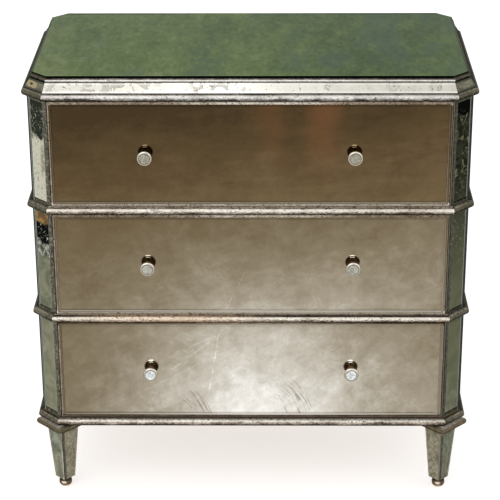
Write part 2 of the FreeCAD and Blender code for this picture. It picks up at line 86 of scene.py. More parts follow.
class Finish:
    def __init__(self, name, tree=None):
        if tree is None:
            self.material = bpy.data.materials.new(name)
            self.material.use_nodes = True
            tree = self.material.node_tree
        self.tree = tree
        tree.nodes.clear()

    def node(self, kind, settings=None, sockets=None, output=0):
        made = self.tree.nodes.new("ShaderNode" + kind)
        for key, value in (settings or {}).items():
            if key == "stops":
                while len(made.color_ramp.elements) < len(value):
                    made.color_ramp.elements.new(1)
                for element, (place, colour) in zip(made.color_ramp.elements, value):
                    element.position, element.color = place, colour
            else:
                setattr(made, key, value)
        for key, value in (sockets or {}).items():
            if isinstance(value, Shade):
                self.tree.links.new(value.socket, made.inputs[key])
            else:
                made.inputs[key].default_value = value
        return Shade(self, made.outputs[output]) if made.outputs else None

    def place(self):  # Object coordinates
        return self.node("TexCoord", output="Object")

    def axes(self, vector):
        split = self.node("SeparateXYZ", None, {0: vector})
        return [Shade(self, out) for out in split.socket.node.outputs]

    def where(self):  # the point's x, y and z
        return self.axes(self.place())

    def facing(self):  # the surface's direction, as x, y and z
        return self.axes(self.node("TexCoord", output="Normal"))

    def cloud(self, scale, detail=4, rough=.55, warp=0, long=(1, 1, 1), turn=0, seed=0):
        # drawn out along x, y and z by long, then turned about y
        at = self.node("Mapping", {"vector_type": "TEXTURE"}, {
            "Vector": self.place(), "Scale": long, "Rotation": (0, turn, 0),
            "Location": (seed * .61, seed * .37, seed * .83)})
        return self.node("TexNoise", None, {"Vector": at, "Scale": scale, "Detail": detail,
                                            "Roughness": rough, "Distortion": warp})

    def swing(self, scale, *more, **rest):  # about -1 to 1, mostly near 0
        return 4 * (self.cloud(scale, *more, **rest) - .5)

    def tint(self, amount, stops):
        return self.node("ValToRGB", {"stops": stops}, {"Fac": amount})

    def blend(self, amount, first, second):
        return self.node("Mix", {"data_type": "RGBA"}, {0: amount, 6: first, 7: second}, 2)

    def relief(self, height, depth):
        return self.node("Bump", None, {"Height": height, "Strength": 1, "Distance": depth})

    def finish(self, **sockets):  # Base_Color stands for the socket Base Color
        named = {key.replace("_", " "): value for key, value in sockets.items()}
        self.node("OutputMaterial", None, {"Surface": self.node("BsdfPrincipled", None, named)})


def screen(red, green, blue):  # a colour as seen on a screen, 0 to 255, for a shader
    def linear(value):
        part = value / 255
        return part / 12.92 if part <= .04045 else ((part + .055) / 1.055) ** 2.4
    return (linear(red), linear(green), linear(blue), 1)


def dress(finish, *names):
    for name in names:
        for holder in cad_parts[name].material_slots:
            holder.material = finish.material


black, white = screen(0, 0, 0), screen(255, 255, 255)
midSlant, dimSlant = (.5, .5, .5, 1), (.4, .4, .4, 1)  # what metal turns to, seen at a slant
fineRelief, deepRelief = .0002, .0003


# camera
camera = {"place": (.0449, -3.69613, 2.0761), "turn": .01317, "tip": .40856, "roll": -.00476,
          "lens": 132.84, "sensor": 36, "reach": 100}
bpy.ops.object.select_all(action="DESELECT")
bpy.ops.object.camera_add(location=camera["place"])
eye = bpy.context.object
eye.name = "eye"
eye.matrix_world = (Matrix.Translation(camera["place"]) @ Matrix.Rotation(camera["turn"], 4, "Z")
                    @ Matrix.Rotation(pi / 2 - camera["tip"], 4, "X")
                    @ Matrix.Rotation(camera["roll"], 4, "Z"))
eye.data.lens, eye.data.sensor_width = camera["lens"], camera["sensor"]
eye.data.clip_end = camera["reach"]
bpy.context.scene.camera = eye
bpy.context.scene.view_settings.view_transform = "Standard"
print("camera set")


# light, world and floor
studio = {"world": .78, "floor": .8, "floorGlow": .56, "floorSize": 40,
          "boxes": (  # name, place, aimed at, size, watts
              ("keyBox", (-1.5, -2.4, 2.5), (0, 0, .5), 2.6, 22),
              ("fillBox", (2.2, -1.8, 1.6), (0, 0, .4), 2.6, 8))}


def softBox(name, place, aim, size, power):
    bpy.ops.object.light_add(type="AREA", location=place)
    lamp = bpy.context.object
    lamp.name, lamp.data.size, lamp.data.energy = name, size, power
    lamp.rotation_euler = (Vector(place) - Vector(aim)).to_track_quat("Z", "Y").to_euler()


def seenBy(finish):  # 1 for what the lens sees, straight, mirrored or through glass
    rays = finish.node("LightPath").socket.node.outputs
    straight, mirrored, through = [
        Shade(finish, rays["Is " + kind + " Ray"]) for kind in ("Camera", "Glossy", "Transmission")]
    return straight.most(mirrored).most(through)


for box in studio["boxes"]:
    softBox(*box)

world = bpy.data.worlds.new("studioAir")
bpy.context.scene.world = world
world.use_nodes = True
world.cycles.sampling_method = "NONE"
air = Finish("air", world.node_tree)
strength = studio["world"] + (1 - studio["world"]) * seenBy(air)
air.node("OutputWorld", None, {
    "Surface": air.node("Background", None, {"Color": white, "Strength": strength})})

bpy.ops.object.select_all(action="DESELECT")
bpy.ops.mesh.primitive_plane_add(size=studio["floorSize"])
floor = bpy.context.object
floor.name = "floor"
paleFloor = Finish("paleFloor")
paleFloor.finish(Base_Color=(studio["floor"],) * 3 + (1,), Roughness=1.0, Specular_IOR_Level=0.0,
                 Emission_Color=paleFloor.blend(seenBy(paleFloor), black, white),
                 Emission_Strength=studio["floorGlow"])
floor.data.materials.append(paleFloor.material)
print("light and floor set")


# antiqued glass
drawerGlass = {
    "head": span("top_drawer_mirror", "z")[1],  # the three panes are toned as one
    "foot": span("bottom_drawer_mirror", "z")[0],
    # darkest, rise, tilt and glow shape the panes' painted reflection, the studio's light painted into
    # their colour
    "darkest": .02, "rise": .60, "tilt": .16, "glow": .35, "glowX": .012, "glowHalf": .46,
    "glowDown": (.16, 1.05), "bevel": .04, "bevelMetal": .08,
    "warm": [(0, screen(60, 48, 31)), (.2, screen(81, 66, 44)), (.4, screen(103, 87, 62)),
             (.55, screen(122, 109, 87)), (.7, screen(150, 138, 120)), (.85, screen(192, 185, 172)),
             (1, screen(238, 235, 230))],
    "grey": [(.2, screen(81, 66, 44)), (.4, screen(103, 90, 68)), (.55, screen(123, 112, 92)),
             (.7, screen(151, 142, 125)), (.85, screen(192, 187, 176)), (1, screen(238, 236, 232))],
    "streaks": .035, "rust": screen(116, 76, 48), "rustUp": (.70, .88), "rustSoft": .045,
    "rustX": ((.03, .06, .42), (.135, .165, .72)),  # from, to, strength
    "rubbed": screen(108, 92, 74), "hairScale": 380, "hairDrift": .045, "hairSoft": .006,
    "rubs": (((-.007, .170), .085, .145), ((-.205, .165), .088, .128)),  # middle, inner and outer radius
    "lineWaver": .002, "lineFade": .012,
    "tiers": {
        "top": {"shift": -.01, "clouds": .05, "smears": .045, "lean": .06, "stops": "warm"},
        "middle": {"shift": -.015, "clouds": .06, "smears": .04, "lean": .25, "stops": "grey",
                   "veil": (.05, .1, .45),  # strength, from this x, down to here
                   "lines": (((-.012, .525), (-.052, .440), .002, 1),)},  # start, end, width, strength
        "bottom": {"shift": -.05, "clouds": .06, "smears": .035, "lean": .6, "stops": "grey",
                   "veil": (-.035, .05, .8),
                   "lines": (((-.065, .394), (-.089, .250), .002, 1),
                             ((-.076, .376), (-.170, .298), .005, .7),
                             ((-.066, .384), (-.140, .350), .005, .7),
                             ((-.080, .330), (-.300, .215), .006, .5))}}}


def downOf(z):  # 0 at the top pane's head, 1 at the bottom pane's foot
    return (drawerGlass["head"] - z) / (drawerGlass["head"] - drawerGlass["foot"])


def paintedReflectionTone(x, z, tier):  # painted reflection: dark above, brightest low in the middle, lighter to the right
    down = downOf(z)
    near = 1 - abs(x - drawerGlass["glowX"]).ease(0, drawerGlass["glowHalf"])
    glow = drawerGlass["glow"] * down.ease(*drawerGlass["glowDown"]) * near
    start = drawerGlass["darkest"] + drawerGlass["tiers"][tier]["shift"]
    return start + drawerGlass["rise"] * (1 - (1 - down) ** 2) + drawerGlass["tilt"] * x + glow


def scuffs(made, x, z, middle, near, far):  # broken hairline arcs about a point of the pane
    across, up = x - middle[0], z - middle[1]
    radius = (across ** 2 + up ** 2) ** .5
    along = made.node("CombineXYZ", None, {0: radius, 1: drawerGlass["hairDrift"] * (x - z)})
    hairs = made.node("TexNoise", None, {
        "Vector": along, "Scale": drawerGlass["hairScale"], "Detail": 1.5})
    ring = radius.band(near, far, drawerGlass["hairSoft"])
    return hairs.ease(.55, .62) * ring * (across - .75 * up).ease(0, .02)


def scratch(made, x, z, start, end, width):  # one straight line from start down to end
    lean = (end[0] - start[0]) / (end[1] - start[1])
    waver = drawerGlass["lineWaver"] * made.swing(14, 2, seed=21)
    off = abs(x - start[0] - lean * (z - start[1]) + waver)
    return (1 - off.ease(width * .3, width)) * z.band(end[1], start[1], drawerGlass["lineFade"])


def paleLines(made, x, z, lines):  # lines rubbed into the silver, broken here and there
    pale = 0
    for start, end, width, strength in lines:
        pale = (strength * scratch(made, x, z, start, end, width)).most(pale)
    return pale * made.cloud(60, 3, seed=17).ease(.35, .55)


def rustOf(made, x, z):  # two faint rusty places right of the middle
    warp = x + .02 * made.swing(6, 3, seed=11)
    rust = 0
    for start, end, strength in drawerGlass["rustX"]:
        rust = (strength * warp.band(start, end, drawerGlass["rustSoft"])).most(rust)
    return rust * (z + .03 * made.swing(8, 3, seed=4)).ease(*drawerGlass["rustUp"])


def smokedGlass(tier):
    look = drawerGlass["tiers"][tier]
    made = Finish(tier + "SmokedGlass")
    x, _, z = made.where()
    soft = made.swing(10, 4, .6, .8, seed=2)
    blotch = made.swing(34, 5, .62, .6, seed=25)
    drift = made.swing(19, 4, .6, .8, (2.6, 1, 1), -look["lean"], seed=5)
    fine = made.swing(80, 4, .65, .3, (3, 1, 1), -look["lean"], seed=9)
    grainy = made.swing(190, 3, .7, seed=14)
    edge = 1 - abs(made.facing()[1]).ease(.93, .998)
    tone = paintedReflectionTone(x, z, tier) + look["clouds"] * (soft + .75 * blotch)
    tone = tone + look["smears"] * (drift + .6 * fine) + .02 * grainy + drawerGlass["bevel"] * edge
    if tier == "top":  # faint level streaks
        streaks = made.swing(34, 3, .6, .5, (7, 1, 1), -look["lean"], seed=41)
        tone = tone + drawerGlass["streaks"] * streaks
        colour = made.tint(tone, drawerGlass[look["stops"]])
        colour = made.blend(rustOf(made, x, z), colour, drawerGlass["rust"])
    else:
        veil, start, depth = look["veil"]
        tone = tone + veil * x.ease(start, .3) * (1 - downOf(z).ease(depth, depth + .15))
        tone = tone + .07 * paleLines(made, x, z, look["lines"])
        colour = made.tint(tone, drawerGlass[look["stops"]])
    if tier == "bottom":
        first, second = [scuffs(made, x, z, *rub) for rub in drawerGlass["rubs"]]
        colour = made.blend(.6 * first.most(second), colour, drawerGlass["rubbed"])
    made.finish(Base_Color=colour, Metallic=1 - (1 - drawerGlass["bevelMetal"]) * edge,
                Specular_IOR_Level=0.0, Roughness=.06 + .08 * made.cloud(9, 3, seed=7))
    return made


for tier in tiers:
    dress(smokedGlass(tier), tier + "_drawer_mirror")


topGlass = {
    "stops": [(0, screen(66, 86, 58)), (.35, screen(90, 108, 72)), (.65, screen(112, 130, 84)),
              (1, screen(140, 152, 110))],
    # bevel and farBevel: the front bevels painted lighter, a painted highlight, and the far ones darker,
    # painted shade
    "cool": screen(88, 108, 94), "edge": screen(8, 9, 8), "bevel": screen(104, 114, 92),
    "farBevel": screen(50, 66, 46), "farIn": (.018, .010), "sideIn": (.005, .002)}


def greenGlass():
    made = Finish("greenGlass")
    x, y, _ = made.where()
    deep = (1, 2.4, 1)
    tone = .56 - .36 * x + .16 * made.swing(8, 3, .5, .4, deep, seed=1)
    tone = tone + .2 * made.swing(28, 5, .62, .5, deep, seed=8)
    tone = tone + .2 * made.swing(120, 3, .65, 0, deep, seed=5)
    colour = made.tint(tone, topGlass["stops"])
    cool = (made.cloud(15, 4, .6, .5, deep, seed=13) + .12 * x).ease(.48, .66)
    colour = made.blend(.5 * cool, colour, topGlass["cool"])
    # painted light: the bevels facing the front lighter, those facing away darker, and a painted shade
    # line along the rear and side edges
    _, back, up = made.facing()
    bevel = made.blend(back.ease(-.06, -.02), topGlass["bevel"], topGlass["farBevel"])
    colour = made.blend(1 - up.ease(.9, .995), colour, bevel)
    farLine = [span("top_mirror", "y")[1] - inset for inset in topGlass["farIn"]]
    sideLine = [span("top_mirror", "x")[1] - inset for inset in topGlass["sideIn"]]
    far = (y.ease(*farLine) * abs(x).ease(.05, .25)).most(abs(x).ease(*sideLine))
    colour = made.blend(.75 * far, colour, topGlass["farBevel"])
    colour = made.blend(1 - up.ease(.2, .6), colour, topGlass["edge"])
    made.finish(Base_Color=colour, Metallic=1.0, Specular_Tint=midSlant,
                Roughness=.1 + .08 * made.cloud(7, 3, seed=3))
    return made


dress(greenGlass(), "top_mirror")


cantLines = {"cant": .0381, "slope": tan(pi / 8), "soft": .0002}  # where lengths meet at a mitre


def pastBody(made):  # how far a point is out past the body's side, and past its front or rear
    x, y, _ = made.where()
    front, rear = span("top_board", "y")
    sideways = abs(x) - span("top_board", "x")[1]
    endways = abs(y - (front + rear) / 2) - (rear - front) / 2
    return sideways, endways


def slantOf(made):  # 0 on the lengths along the front and the rear, 1 on the others
    sideways, endways = pastBody(made)
    past = sideways + cantLines["cant"] - cantLines["slope"] * endways
    return past.ease(-cantLines["soft"], cantLines["soft"])


def sideOf(made):  # 1 on the lengths along the two sides
    sideways, endways = pastBody(made)
    past = endways + cantLines["cant"] - cantLines["slope"] * sideways
    return 1 - past.ease(-cantLines["soft"], cantLines["soft"])


friezeGlass = {
    # lit, dim and bevel are painted light: a painted pool of light and painted highlights along the
    # bevels
    "ivory": (screen(223, 220, 207), screen(206, 202, 189)), "lit": screen(240, 238, 230), "litX": .04,
    "dim": screen(176, 173, 164), "dimX": (-.34, -.10), "foxX": (-.34, -.24, .05),  # from, to, soft
    "fox": screen(170, 166, 158), "rim": screen(104, 98, 88), "bevel": screen(246, 244, 238),
    "head": screen(128, 124, 114), "olive": (screen(92, 92, 78), screen(134, 130, 112)),
    "knot": {"x": -.4335, "up": .52, "wide": .0115, "high": .36, "colour": screen(70, 54, 32)},
    "halo": screen(182, 168, 126), "vein": screen(150, 150, 132), "border": screen(74, 76, 64),
    "side": screen(58, 60, 50)}


def ivoryPanes(made, x, up, patch, rim):  # the front's and the back's, with foxing from the top edges
    colour = made.blend(made.cloud(30, 4, seed=2).ease(.35, .65), *friezeGlass["ivory"])
    # a painted pool of light a little right of the middle, and painted shade towards the left
    lit = 1 - abs(x - friezeGlass["litX"]).ease(.06, .24)
    colour = made.blend(.6 * lit, colour, friezeGlass["lit"])
    colour = made.blend(.9 * (1 - x.ease(*friezeGlass["dimX"])), colour, friezeGlass["dim"])
    ticks = made.cloud(110, 2, .6, 1.5, seed=7).ease(.65, .68)
    colour = made.blend(.6 * patch, colour, friezeGlass["fox"])
    colour = made.blend(.75 * rim.most(ticks), colour, friezeGlass["rim"])
    # painted highlights along the bevels at the foot and near the head, stronger towards the right
    bevelled = (1 - up.ease(.10, .24)).most(up.band(.80, .90, .04))
    colour = made.blend((.35 + .25 * x.ease(-.3, 0)) * bevelled, colour, friezeGlass["bevel"])
    return made.blend(.2 * up.ease(.93, .98), colour, friezeGlass["head"])


def olivePanes(made, x, up):  # those of the corners and the sides
    knot = friezeGlass["knot"]
    left = 1 - x.ease(-.1, .1)
    # the corner panes painted olive, a painted reflection of the darker studio at the sides
    colour = made.blend(made.cloud(90, 4, .6, 1, seed=9).ease(.4, .6), *friezeGlass["olive"])
    around = (((x - knot["x"]) / knot["wide"]) ** 2 + ((up - knot["up"]) / knot["high"]) ** 2) ** .5
    around = around + .4 * made.swing(130, 4, .7, seed=5)
    colour = made.blend(.7 * left * around.band(.3, .95, .2), colour, friezeGlass["halo"])
    colour = made.blend(.85 * left * (1 - around.ease(.12, .35)), colour, knot["colour"])
    veins = 1 - abs(made.swing(60, 2, .5, 1.2, seed=1)).ease(0, .12)
    colour = made.blend(.5 * veins * (1 - left), colour, friezeGlass["vein"])
    border = 1 - (.5 - abs(up - .5)).ease(.12, .22)
    colour = made.blend(border, colour, friezeGlass["border"])
    # the side lengths painted darker still, painted shade
    return made.blend(sideOf(made), colour, friezeGlass["side"])


def paleGlass():
    made = Finish("paleGlass")
    x, _, z = made.where()
    foot, head = span("frieze_mirrors", "z")
    up = (z - foot) / (head - foot)
    foxed = x.band(*friezeGlass["foxX"])
    blot = made.cloud(44, 4, .6, 1.0, seed=6) + .07 * (up - .55) + .03 * foxed
    near = (made.cloud(15, 2, seed=4) + .12 * foxed).ease(.48, .56)
    patch = blot.ease(.54, .56) * near
    rim = (1 - abs(blot - .55).ease(.004, .016)) * near
    colour = made.blend(slantOf(made), ivoryPanes(made, x, up, patch, rim), olivePanes(made, x, up))
    made.finish(Base_Color=colour, Metallic=.9 * (1 - sideOf(made)), Specular_IOR_Level=0.0,
                Specular_Tint=dimSlant, Roughness=.16 + .2 * patch)
    return made


dress(paleGlass(), "frieze_mirrors")


stripGlass = {
    "rearDrop": .16, "jag": .012, "fineJag": .005,
    "ground": (screen(92, 95, 77), screen(122, 122, 101)), "outer": screen(160, 166, 153),
    "outerLine": (.02908, .02968), "innerLine": (.00128, .00208),  # across, from the pane's inner edge
    "inner": {"left": screen(60, 66, 54), "right": screen(104, 110, 96)},
    "dark": screen(40, 43, 34), "darkFoot": (.805, .820), "veins": screen(156, 158, 146),
    "cream": screen(182, 180, 163), "creamSpecks": screen(84, 80, 66), "creamFoot": (.664, .668),
    "tan": screen(124, 118, 92), "tanAcross": (.00748, .01348), "tanUp": (.735, .795, .012),
    "brown": screen(140, 134, 116), "brownAcross": (.00198, .00448),
    "ochre": (screen(142, 112, 66), screen(96, 78, 50)), "ochreFoot": (.626, .632),
    "night": screen(12, 14, 12), "stars": screen(170, 170, 158), "starsFoot": (.582, .590),
    "swirl": (screen(70, 72, 60), screen(150, 152, 140)), "swirlFoot": (.548, .562),
    "low": screen(146, 142, 120), "lowHead": (.42, .44),
    "moss": screen(80, 82, 62), "mossUp": (.22, .32), "shade": screen(44, 46, 35), "shadeUp": (.36, .74),
    "flakes": screen(112, 108, 84), "flakesUp": (.5, .62),
    "murk": (screen(14, 16, 11), screen(40, 42, 30)), "murkUp": (.60, .76),
    "pale": screen(118, 114, 90), "paleUp": (.725, .885, .01),
    "cap": screen(8, 10, 8), "capUp": (.862, .868)}


def leftStrip(made, across, z, warp, ground):  # dark, cream, ochre, starred and swirled, from above
    specks = made.cloud(210, 3, .7, .6, seed=2)
    veins = 1 - abs(made.swing(42, 2, .5, 1.0, (1, 1, 1.4), seed=8)).ease(0, .09)
    veins = veins * made.cloud(30, 2, seed=18).ease(.46, .54)
    veins = veins.most(specks.ease(.58, .63) * z.band(.835, .875, .01))
    dark = made.blend(.8 * veins, stripGlass["dark"], stripGlass["veins"])
    cream = made.blend(specks.ease(.59, .63), stripGlass["cream"], stripGlass["creamSpecks"])
    tanned = (1 - across.ease(*stripGlass["tanAcross"])) * warp.band(*stripGlass["tanUp"])
    tanned = tanned * made.cloud(70, 3, .6, .6, seed=15).ease(.34, .46)
    cream = made.blend(.8 * tanned, cream, stripGlass["tan"])
    cream = made.blend(.5 * (1 - across.ease(*stripGlass["brownAcross"])), cream, stripGlass["brown"])
    ochre = made.blend(made.cloud(60, 3, seed=4).ease(.45, .55), *stripGlass["ochre"])
    stars = made.blend(specks.ease(.62, .66), stripGlass["night"], stripGlass["stars"])
    swirl = made.blend(made.cloud(60, 3, .6, 1.5, seed=12).ease(.45, .6), *stripGlass["swirl"])
    low = made.blend(.25 * (1 - z.ease(*stripGlass["lowHead"])), ground, stripGlass["low"])
    colour = made.blend(warp.ease(*stripGlass["darkFoot"]), cream, dark)
    for above, below in (("cream", ochre), ("ochre", stars), ("stars", swirl), ("swirl", low)):
        colour = made.blend(1 - warp.ease(*stripGlass[above + "Foot"]), colour, below)
    return colour


def rightStrip(made, z, level, warp, ground):  # dark above, mossy below
    ground = made.blend(.3 + .45 * z.ease(*stripGlass["mossUp"]), ground, stripGlass["moss"])
    ground = made.blend(.85 * level.ease(*stripGlass["shadeUp"]), ground, stripGlass["shade"])
    flakes = made.cloud(110, 3, .6, 1, seed=6).ease(.58, .62) * warp.ease(*stripGlass["flakesUp"])
    colour = made.blend(.7 * flakes, ground, stripGlass["flakes"])
    murk = made.blend(made.cloud(50, 4, .6, 1, seed=9).ease(.4, .6), *stripGlass["murk"])
    colour = made.blend(.85 * warp.ease(*stripGlass["murkUp"]), colour, murk)
    pale = 1 - abs(made.swing(44, 2, .5, 1.2, (1, 1, 1.4), seed=31)).ease(0, .14)
    pale = pale * made.cloud(30, 2, seed=33).ease(.47, .53) * level.band(*stripGlass["paleUp"])
    colour = made.blend(.75 * pale, colour, stripGlass["pale"])
    cap = (warp + .02 * made.swing(90, 3, seed=35)).ease(*stripGlass["capUp"])
    return made.blend(cap, colour, stripGlass["cap"])


def cornerGlass(side):
    made = Finish(side + "CornerGlass")
    x, y, z = made.where()
    across = abs(x) - span("post_mirrors_right", "x")[0]
    level = z - stripGlass["rearDrop"] * y.ease(-.01, .01)  # the rear strips age at other heights
    warp = level + stripGlass["jag"] * made.swing(30, 4, .6, .8, seed=3)
    warp = warp + stripGlass["fineJag"] * made.swing(120, 3, .6, .5, seed=19)
    ground = made.blend(made.cloud(26, 5, .65, .6, seed=5).ease(.35, .65), *stripGlass["ground"])
    if side == "left":
        colour = leftStrip(made, across, z, warp, ground)
    else:
        colour = rightStrip(made, z, level, warp, ground)
    colour = made.blend(across.ease(*stripGlass["outerLine"]), colour, stripGlass["outer"])
    inner = .6 * (1 - across.ease(*stripGlass["innerLine"]))
    colour = made.blend(inner, colour, stripGlass["inner"][side])
    made.finish(Base_Color=colour, Metallic=1.0, Specular_Tint=midSlant,
                Roughness=.1 + .15 * made.cloud(18, 3, seed=7))
    return made


for side in ("left", "right"):
    dress(cornerGlass(side), "post_mirrors_" + side)


panelGlass = {"shades": (screen(108, 100, 80), screen(146, 138, 118)), "fox": screen(190, 188, 168),
              "ticks": screen(70, 66, 54)}


def sideGlass():
    made = Finish("sideGlass")
    mottle = made.cloud(9, 6, .65, .8, seed=3)
    colour = made.blend(mottle.ease(.36, .62), *panelGlass["shades"])
    fox = made.cloud(63, 4, .7, .3, seed=5).ease(.55, .66)
    colour = made.blend(.28 * fox, colour, panelGlass["fox"])
    ticks = made.cloud(126, 3, .6, .5, seed=8).ease(.60, .66)
    colour = made.blend(.5 * ticks, colour, panelGlass["ticks"])
    made.finish(Base_Color=colour, Metallic=1.0, Specular_Tint=midSlant, Roughness=.12 + .2 * mottle)
    return made


dress(sideGlass(), "side_mirrors")


legX = sum(span("leg_front_right", "x")) / 2
legPanes = {"cool": (screen(92, 96, 80), screen(142, 146, 128)),
            "warm": (screen(100, 96, 78), screen(150, 146, 126)), "right": screen(72, 76, 60),
            # right and head are painted shade: right on the right leg's outer faces, head a painted
            # shadow under the collar
            "head": screen(58, 56, 44), "collarShadowUp": (.132, .150), "edge": screen(52, 50, 39),
            "edgeX": (-.001, .0052, .0008), "edgeJag": .0022, "fox": screen(178, 178, 160),
            "ticks": screen(64, 60, 48)}


def legGlass():
    made = Finish("legGlass")
    x, _, z = made.where()
    turned = (made.facing()[0] * x.sign()).ease(-.1, .1)  # 1 on the faces that look outwards
    mottle = made.cloud(60, 6, .65, .8, seed=3)
    cool = made.blend(mottle.ease(.32, .68), *legPanes["cool"])
    warm = made.blend(mottle.ease(.32, .68), *legPanes["warm"])
    # the outward faces painted cool and the others warm, a painted reflection
    colour = made.blend(turned * (.35 + .65 * z.ease(.07, .12)), warm, cool)
    # the right leg's outward faces painted darker, painted shade
    colour = made.blend(.45 * turned * x.ease(-.1, .1), colour, legPanes["right"])
    # a painted shadow under the collar
    colour = made.blend(.4 * z.ease(*legPanes["collarShadowUp"]), colour, legPanes["head"])
    across = x - legX * x.sign()
    jagged = across + legPanes["edgeJag"] * made.swing(260, 3, .7, .6, (1, 1, 2), seed=13)
    colour = made.blend(.75 * jagged.band(*legPanes["edgeX"]), colour, legPanes["edge"])
    fox = made.cloud(190, 4, .7, 1, seed=5).ease(.56, .64)
    colour = made.blend(.35 * fox, colour, legPanes["fox"])
    ticks = made.cloud(260, 3, .6, 1, seed=8).ease(.58, .64)
    colour = made.blend(.5 * ticks, colour, legPanes["ticks"])
    made.finish(Base_Color=colour, Metallic=1.0, Specular_Tint=midSlant, Roughness=.12 + .2 * mottle)
    return made


dress(legGlass(), "leg_mirrors")


knobDisc = {"radius": .0115, "ring": screen(84, 80, 70), "ringAt": (.0103, .0111),
            # the lower drawers' discs painted lighter, a painted reflection as on the panes
            "shades": {"top": (screen(118, 116, 102), screen(158, 154, 139)),  # dark, light
                       "middle": (screen(128, 128, 118), screen(168, 168, 157)),
                       "bottom": (screen(168, 172, 170), screen(222, 226, 225))}}


def discGlass(tier):  # small mirror with a dark ring at its edge
    made = Finish(tier + "DiscGlass")
    x, _, z = made.where()
    mottle = made.cloud(150, 6, .65, .8, seed=3)
    colour = made.blend(mottle.ease(.36, .62), *knobDisc["shades"][tier])
    middle = sum(span(tier + "_drawer_knob_mirrors", "z")) / 2
    side = span(tier + "_drawer_knob_mirrors", "x")[1] - knobDisc["radius"]
    away = ((abs(x) - side) ** 2 + (z - middle) ** 2) ** .5
    colour = made.blend(away.ease(*knobDisc["ringAt"]), colour, knobDisc["ring"])
    made.finish(Base_Color=colour, Metallic=1.0, Specular_Tint=midSlant, Roughness=.14 + .2 * mottle)
    return made


for tier in tiers:
    dress(discGlass(tier), tier + "_drawer_knob_mirrors")
print("glass dressed")


# silver leaf
mouldLeaf = {
    "warm": [(0, screen(44, 36, 29)), (.2, screen(90, 78, 65)), (.4, screen(160, 149, 136)),
             (.66, screen(212, 205, 192)), (.88, screen(238, 233, 222)), (1, screen(246, 243, 234))],
    "grey": [(0, screen(34, 30, 27)), (.2, screen(84, 78, 70)), (.4, screen(156, 152, 145)),
             (.66, screen(209, 206, 200)), (.88, screen(236, 234, 228)), (1, screen(246, 245, 240))],
    # slant, side and ledge are painted light: slant the cants' painted reflection, side painted shade on
    # the side lengths, ledge painted light on the waists' tops
    "slant": [(0, screen(30, 30, 24)), (.35, screen(82, 79, 66)), (.65, screen(118, 113, 98)),
              (1, screen(170, 165, 149))],
    "side": screen(34, 35, 29), "clay": screen(214, 184, 154), "clayX": (-.32, -.02, .1),
    "worn": screen(126, 114, 104), "bare": screen(46, 39, 31), "crown": screen(124, 114, 102),
    "ledge": screen(236, 226, 212)}

# glint, lift, shade and brow set where each round's painted highlight and painted shade fall
mouldings = {
    "cornice_lower_bead": {"name": "corniceLeaf", "wear": -.02, "seed": 1, "glint": -.12, "stops": "grey",
                           "shade": .52},
    "cornice_upper_bead": {"name": "neckLeaf", "wear": -.12, "seed": 3, "glint": .03, "stops": "grey",
                           "crown": 1.1, "cant": .1, "lift": .9, "brow": .05},
    "waist_moulding_upper": {"name": "upperWaistLeaf", "wear": .06, "seed": 6, "glint": -.08, "ledge": 1},
    "waist_moulding_lower": {"name": "lowerWaistLeaf", "wear": .10, "seed": 9, "warmth": .5, "cant": .26,
                             "shade": .88, "brow": .38, "ledge": .8},
    "base_moulding": {"name": "baseLeaf", "wear": .06, "seed": 12, "glint": -.06, "crown": 1.1,
                      "lift": -.15, "shade": .12}}


def mouldingLeaf(name, wear, seed, glint=0, crown=.985, stops="warm", warmth=0, cant=.18, lift=.25,
                 shade=.6, brow=.45, ledge=0):
    # painted light on each round: a painted highlight on its front, darker above and under it, mostly
    # painted shade with some antiquing glaze in the hollows; the cants and side lengths painted darker
    made = Finish(name)
    up = made.facing()[2]
    drawn = (2.2, 2.2, 1)
    brush = made.swing(330, 3, .7, .3, drawn, seed=seed)
    patches = made.swing(26, 4, .6, .8, drawn, seed=seed + 4)
    height = up + .10 * brush + .06 * patches
    risen = height + lift
    # the tone follows which way the surface faces: a painted highlight on the front, painted shade under
    # and above
    tone = .08 + .34 * risen.ease(-.8, 0) + .36 * risen.ease(0, .5)
    tone = tone - shade * height.ease(brow, brow + .57) + (.22 + .08 * ledge) * up.ease(.9, .98)
    tone = tone + .18 * brush + .26 * patches + glint
    colour = made.tint(tone, mouldLeaf[stops])
    if warmth:  # clay shows through left of the middle
        showing = made.where()[0].band(*mouldLeaf["clayX"])
        colour = made.blend(warmth * showing, colour, mouldLeaf["clay"])
    # the waists' flat tops painted light where the drawers above shade them; otherwise the crown colour
    colour = made.blend(up.ease(crown, crown + .013), colour, mouldLeaf["ledge" if ledge else "crown"])
    rub = (patches - .4 * brush).ease(.45 - wear, .8 - wear)
    colour = made.blend(.5 * rub, colour, mouldLeaf["worn"])
    # the cants toned by the same facing and painted olive, a painted reflection with a painted highlight
    # along the upper edge; the side lengths painted darker, painted shade
    tone = cant + .3 * height.ease(-.6, .5) + .24 * brush + .16 * patches + .24 * up.band(.72, .93, .08)
    olive = made.blend(.6 * sideOf(made), made.tint(tone, mouldLeaf["slant"]), mouldLeaf["side"])
    colour = made.blend(slantOf(made), colour, olive)
    rimmed = .05 * abs(up - .35).ease(.2, .6)  # more bare wood near the edges
    flecks = made.cloud(380, 3, .7, .6, drawn, seed=seed + 2) + rimmed
    flecks = flecks.ease(.60 - wear * .3, .65 - wear * .3)
    colour = made.blend(.7 * flecks, colour, mouldLeaf["bare"])
    made.finish(Base_Color=colour, Metallic=.85 - .75 * ledge * up.ease(.88, .97),
                Specular_Tint=dimSlant, Specular_IOR_Level=0.0,
                Roughness=.34 + .3 * rub.most(flecks), Normal=made.relief(brush, fineRelief))
    return made


for node, look in mouldings.items():
    dress(mouldingLeaf(**look), node)


